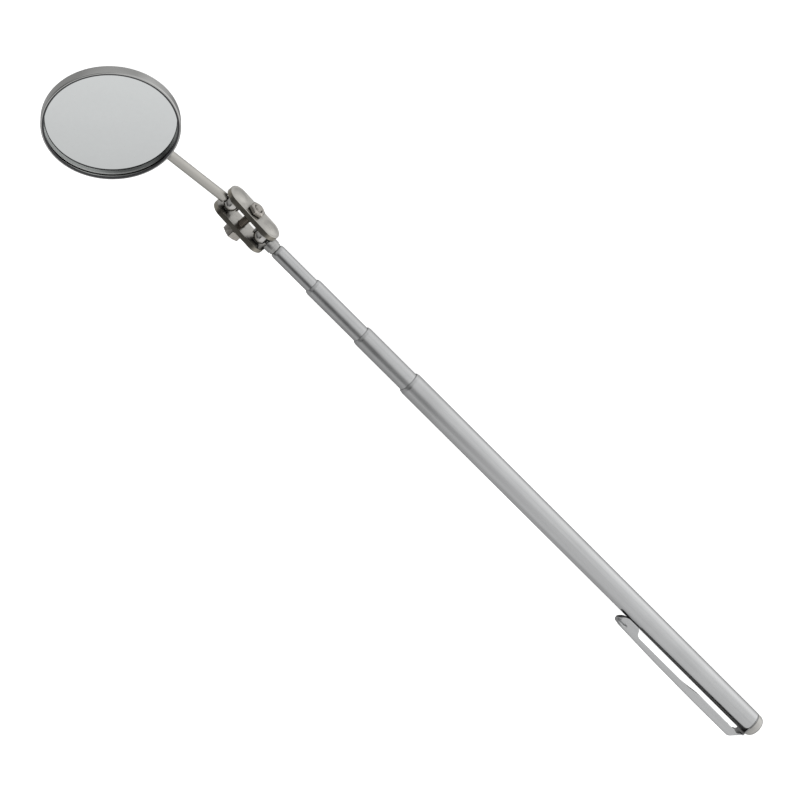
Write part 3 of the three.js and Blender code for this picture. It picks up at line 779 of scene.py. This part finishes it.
def hex_stations(across_flats, start, end):
    """A hexagonal block whose two ends are chamfered as by a cone, from start to end."""
    flat = across_flats / 2 * HEX_FLAT
    shape = hexagon(across_flats)
    drop = math.copysign(HEX_CHAMFER, end - start)

    def halfway(angle):
        return flat + (shape(angle) - flat) * 0.5

    return [
        (start, flat), (start + drop * HEX_CURVE, halfway), (start + drop, shape),
        (end - drop, shape), (end - drop * HEX_CURVE, halfway), (end, flat),
    ]


def thread(x):
    """Radius of the thread at an angle, at a place along the screw."""
    def radius(angle):
        turn = (x / THREAD_PITCH + angle / (2 * math.pi)) % 1
        return SHANK - THREAD_DEPTH * abs(2 * turn - 1)
    return radius


def clamp_plate(name, side, plate_frame):
    """A plate, with the material of its sheared edge where it faces sideways; that material also
    paints shade on the long edges.
    """
    obj = piece(name + "_look", plate_mesh(side), plate_frame, PLATE_METAL, [name],
                second=PLATE_EDGE_AND_SHADE)
    drilled(obj, SHANK + SHANK_CLEARANCE, plate_frame)
    for face in obj.data.polygons:
        face.material_index = int(abs(face.normal.y) < EDGE_FACING)
    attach(obj, "clamp")


def clamp_screw(screw_frame):
    """The head and its threaded shank, which gets painted shade between the plates."""
    end = -SCREW_SEAT - NUT_HEIGHT - SCREW_END
    start = end + THREAD_START
    stations = [(end, 0), (end, SHANK - POINT_CHAMFER)]
    for k in range(THREAD_STEPS):
        x = start + (SCREW_SEAT - start) * k / THREAD_STEPS
        stations.append((x, thread(x)))
    stations.append((SCREW_SEAT, SHANK * SHANK_NECK))
    stations += hex_stations(HEAD_FLATS, SCREW_SEAT, SCREW_SEAT + HEAD_HEIGHT)
    stations.append((SCREW_SEAT + HEAD_HEIGHT, 0))
    shade_end = PLATE_GAP / 2 + SHANK_SHADE_REACH
    between = [i for i, (x, _) in enumerate(stations) if abs(x) < shade_end]
    marks = range(between[0] * FINE, between[-1] * FINE)
    piece("clamp_screw_look", spun(stations), screw_frame, SCREW_METAL, ["clamp_screw"],
          "clamp", second=SHANK_SHADE_METAL, marked=marks)


def clamp_nut(screw_frame):
    bore = SHANK + SHANK_CLEARANCE
    end = -SCREW_SEAT - NUT_HEIGHT
    nut = [(-SCREW_SEAT, bore)] + hex_stations(NUT_FLATS, -SCREW_SEAT, end)
    nut += [(end, bore + NUT_CHAMFER), (end + NUT_CHAMFER, bore)]
    piece("clamp_nut_look", spun(nut, closed=True), screw_frame, SCREW_METAL,
          ["clamp_nut"], "nut")


def clamp():
    plate_frame = CLAMP @ Matrix.Translation(Vector((BALL_SPACING / 2 * MM, 0, 0)))
    # The screw's own frame: X from the nut's end towards the head.
    screw_frame = plate_frame @ Matrix.Rotation(math.pi / 2, 4, "Z")
    clamp_plate("clamp_plate_front", -1, plate_frame)
    clamp_plate("clamp_plate_rear", 1, plate_frame)
    clamp_screw(screw_frame)
    clamp_nut(screw_frame)


# ---- Arm and mirror -----------------------------------------------------------------

def eased(t):
    """A soft step from 0 to 1."""
    return t * t * (3 - 2 * t)


def mirror_arm():
    """The rod from its ball, and the flat tongue that it turns into at the bend under the cup."""
    depth = CUP_DEPTH + WELD_GAP + TONGUE_THICKNESS / 2
    bend_at = MIRROR_ALONG + (depth - MIRROR_RISE * math.cos(MIRROR_TILT)) / math.sin(MIRROR_TILT)
    flatten_start = bend_at - FLATTEN_BEFORE
    tongue_start = bend_at + FLATTEN_AFTER
    straight_end = bend_at + TONGUE_REACH - TONGUE_WIDTH / 2

    def section(x, width, tall, squareness):
        past = max(x - bend_at, 0)
        tilt = MIRROR_TILT * eased(min(max((x - bend_at + TONGUE_BEND) / (2 * TONGUE_BEND), 0), 1))
        cx = x - past + past * math.cos(MIRROR_TILT)
        cz = past * math.sin(MIRROR_TILT)
        ring = []
        for k in range(ARM_SIDES):
            a = 2 * math.pi * k / ARM_SIDES
            y = width / 2 * math.copysign(abs(math.cos(a)) ** squareness, math.cos(a))
            z = tall / 2 * math.copysign(abs(math.sin(a)) ** squareness, math.sin(a))
            ring.append((cx - z * math.sin(tilt), y, cz + z * math.cos(tilt)))
        return ring

    def flattened(x, t):
        """A section some share of the way from the rod to the tongue."""
        return section(x, 2 * ARM + (TONGUE_WIDTH - 2 * ARM) * t,
                       2 * ARM + (TONGUE_THICKNESS - 2 * ARM) * t, 1 + (TONGUE_SQUARENESS - 1) * t)

    rod = softened([(SHOULDER, STEM), (SHOULDER, ARM, 0.35), (flatten_start, ARM)])
    rings = [section(x, 2 * max(r, ROD_TIP), 2 * max(r, ROD_TIP), 1) for x, r in stem(-1)]
    rings += [section(x, 2 * r, 2 * r, 1) for x, r in rod[1:-1]]
    for k in range(1, ROD_STEPS + 1):
        rings.append(flattened(SHOULDER + (flatten_start - SHOULDER) * k / ROD_STEPS, 0))
    for k in range(1, FLATTEN_STEPS + 1):
        t = k / FLATTEN_STEPS
        rings.append(flattened(flatten_start + (tongue_start - flatten_start) * t, eased(t)))
    for k in range(1, TONGUE_STEPS):
        x = tongue_start + (straight_end - tongue_start) * k / TONGUE_STEPS
        rings.append(section(x, TONGUE_WIDTH, TONGUE_THICKNESS, TONGUE_SQUARENESS))
    for k in range(TIP_STEPS + 1):
        a = math.radians(TIP_TURN * k / TIP_STEPS)
        rings.append(section(straight_end + TONGUE_WIDTH / 2 * math.sin(a),
                             TONGUE_WIDTH * math.cos(a), TONGUE_THICKNESS, TONGUE_SQUARENESS))
    piece("mirror_arm_look", lofted(rings), HEAD, ARM_METAL, ["mirror_arm"], "head")


def mirror_cup():
    """The cup from the middle of its back, over the rim and the dark ring on it, to the middle
    of its floor."""
    wall = MIRROR - CUP_SHEET
    floor_at = CUP_SHEET - CUP_DEPTH
    inside = CUP_ROUND - CUP_SHEET
    outer, inner = DARK_RING
    cup = [(-CUP_DEPTH, 0), (-CUP_DEPTH, MIRROR - CUP_ROUND - CUP_EASE)]
    cup += arc(CUP_ROUND - CUP_DEPTH, MIRROR - CUP_ROUND, CUP_ROUND, 175, 90, 10)
    cup += arc(-RIM_ROUND, MIRROR - RIM_ROUND, RIM_ROUND, 90, 0, 10)
    first = len(cup)
    cup += [(0, outer)] + arc(-DARK_RING_ROUND, inner + DARK_RING_ROUND, DARK_RING_ROUND, 0, -90, 8)
    cup += [(-RIM_ROUND, inner), (-RIM_ROUND - LIP_BELOW_DARK_RING, RIM_LIP)]
    dark_ring = range(first * DISC, (len(cup) - 1) * DISC)
    cup += [(-RIM_HEIGHT, wall - RIM_TURN), (-RIM_HEIGHT - RIM_TURN, wall)]
    cup += arc(floor_at + inside, wall - inside, inside, 90, 180, 8) + [(floor_at, 0)]
    piece("mirror_cup_look", spun(cup, DISC), MIRROR_FRAME, CUP_METAL, ["mirror_cup"], "head",
          second=RIM_DARK_RING, marked=dark_ring)


def mirror():
    mirror_cup()
    back = GLASS_FRONT - GLASS_THICKNESS
    glass = softened([(back, 0), (back, GLASS, 0.1), (GLASS_FRONT, GLASS, 0.15), (GLASS_FRONT, 0)])
    piece("mirror_glass_look", spun(glass, DISC), MIRROR_FRAME, MIRROR_METAL,
          ["mirror_glass"], "head")
    paint("backing_pad", PAD_FOAM)


# ---- Stage --------------------------------------------------------------------------

# Places on the stage are in metres, in the model's own axes.
AZIMUTH = math.radians(24.03)
ELEVATION = math.radians(56.86)
ROLL = math.radians(-155.70)
TARGET = Vector((0.01662, -0.00300, 0.02487))
DISTANCE = 0.80026
LENS = 96.56                  # millimetres, like the sensor
SENSOR = 36
LENS_SHIFT = 0.000625         # of the view to the left and up, as a share of its width
CLIP_NEAR = 0.05
CLIP_FAR = 200

FLOOR_SIZE = 60.0             # half its side
FLOOR_DROP = 0.0005
FLOOR_GLOW = 0.86

LIGHT_PLACE = (0.2, -0.5, 1.6)
LIGHT_SIZE = 1.6
LIGHT_POWER = 22

# What the studio shows at each angle round the handle, in degrees from straight up towards the
# clamp nut's side. The room that the middle of the tool sees has a dark gap overhead. The room
# that is seen further towards the handle's tail is plainer and brighter, and the room ahead
# has a dark patch overhead, on the side away from the nut.
STUDIO = {
    "middle": [
        (-180, 0.3), (-150, 0.18), (-125, 0.2), (-113, 0.37), (-86, 0.37), (-66, 0.43), (-50, 0.5),
        (-36, 0.5), (-23, 0.26), (-10, 0.10), (2, 0.09), (13.5, 0.2), (25, 0.45), (36, 0.68),
        (48, 0.8), (60, 0.85), (84, 0.85), (97, 0.92), (112, 1.0), (128, 1.0), (148, 0.78),
        (180, 0.5),
    ],
    "tail": [
        (-180, 0.35), (-150, 0.2), (-125, 0.24), (-113, 0.5), (-86, 0.54), (-66, 0.58),
        (-50, 0.70), (-36, 0.78), (25, 0.8), (36, 0.86), (48, 0.9), (72, 0.93), (84, 1.0),
        (97, 1.12), (112, 1.2), (128, 1.27), (148, 0.95), (180, 0.35),
    ],
    "ahead": [
        (-180, 0.42), (-100, 0.42), (-58, 0.42), (-46, 0.12), (-30, 0.08), (-12, 0.32),
        (35, 0.5), (110, 0.7), (180, 0.42),
    ],
}
STUDIO_TOP = 1.27             # the brightest level
# Where one room fades into the next, as the X part of the direction.
TAIL_FADE = (-0.20, -0.25)
AHEAD_FADE = (0.02, 0.28)


def camera():
    back = Vector((math.sin(AZIMUTH) * math.cos(ELEVATION), -math.cos(AZIMUTH) * math.cos(ELEVATION),
                   math.sin(ELEVATION)))
    data = bpy.data.cameras.new("camera")
    data.lens = LENS
    data.sensor_width = SENSOR
    data.clip_start = CLIP_NEAR
    data.clip_end = CLIP_FAR
    data.shift_x = -LENS_SHIFT
    data.shift_y = LENS_SHIFT
    obj = bpy.data.objects.new("camera", data)
    bpy.context.scene.collection.objects.link(obj)
    turn = back.to_track_quat("Z", "Y").to_matrix().to_4x4() @ Matrix.Rotation(ROLL, 4, "Z")
    obj.matrix_world = Matrix.Translation(TARGET + back * DISTANCE) @ turn
    bpy.context.scene.camera = obj


def floor():
    """A pale glowing sheet under the tool, which glossy surfaces don't reflect."""
    mesh = bpy.data.meshes.new("floor")
    size = FLOOR_SIZE
    corners = [(-size, -size, 0), (size, -size, 0), (size, size, 0), (-size, size, 0)]
    mesh.from_pydata(corners, [], [(0, 1, 2, 3)])
    material = bpy.data.materials.new("floor_paper")
    material.use_nodes = True
    shader = material.node_tree.nodes["Principled BSDF"]
    shader.inputs["Base Color"].default_value = (0.5, 0.5, 0.5, 1)
    shader.inputs["Roughness"].default_value = 0.9
    shader.inputs["Specular IOR Level"].default_value = 0.1
    shader.inputs["Emission Color"].default_value = (1, 1, 1, 1)
    shader.inputs["Emission Strength"].default_value = FLOOR_GLOW
    mesh.materials.append(material)
    obj = bpy.data.objects.new("floor", mesh)
    bpy.context.scene.collection.objects.link(obj)
    obj.location.z = -FLOOR_DROP
    obj.visible_glossy = False


def studio():
    """A world of soft boxes that metal reflects, the same for every view of the tool."""
    world = bpy.data.worlds.new("studio")
    bpy.context.scene.world = world
    world.use_nodes = True
    tree = world.node_tree
    link = tree.links.new
    background = tree.nodes["Background"]
    direction = tree.nodes.new("ShaderNodeTexCoord")
    parts = tree.nodes.new("ShaderNodeSeparateXYZ")
    link(direction.outputs["Generated"], parts.inputs["Vector"])
    sideways = calculated(tree, "MULTIPLY", parts.outputs["Y"], -1)
    angle = calculated(tree, "ARCTAN2", sideways, parts.outputs["Z"])
    share = map_range(tree, angle, (-math.pi, math.pi))

    def ramp(levels):
        node = tree.nodes.new("ShaderNodeValToRGB")
        stops = node.color_ramp.elements
        while len(stops) < len(levels):
            stops.new(0.5)
        for stop, (degrees, level) in zip(stops, levels):
            stop.position = (degrees + 180) / 360
            stop.color = [level / STUDIO_TOP] * 3 + [1]
        link(share, node.inputs["Fac"])
        return node.outputs["Color"]

    def fade(span, first, second):
        blend = tree.nodes.new("ShaderNodeMix")
        blend.data_type = "RGBA"
        link(map_range(tree, parts.outputs["X"], span), blend.inputs["Factor"])
        link(first, blend.inputs[6])
        link(second, blend.inputs[7])
        return blend.outputs[2]

    room = fade(TAIL_FADE, ramp(STUDIO["middle"]), ramp(STUDIO["tail"]))
    link(fade(AHEAD_FADE, room, ramp(STUDIO["ahead"])), background.inputs["Color"])
    background.inputs["Strength"].default_value = STUDIO_TOP


def table_light():
    data = bpy.data.lights.new("table_light", "AREA")
    data.size = LIGHT_SIZE
    data.energy = LIGHT_POWER
    obj = bpy.data.objects.new("table_light", data)
    bpy.context.scene.collection.objects.link(obj)
    obj.location = LIGHT_PLACE
    obj.rotation_mode = "QUATERNION"
    obj.rotation_quaternion = Vector(LIGHT_PLACE).to_track_quat("Z", "Y")
    obj.visible_glossy = False


camera()
floor()
studio()
table_light()
bpy.context.scene.view_settings.view_transform = "Standard"

telescope()
nose_plug()
ball("handle_ball", HANDLE)
ball("arm_ball", HEAD)
end_cap()
clip()
clamp()
mirror_arm()
mirror()
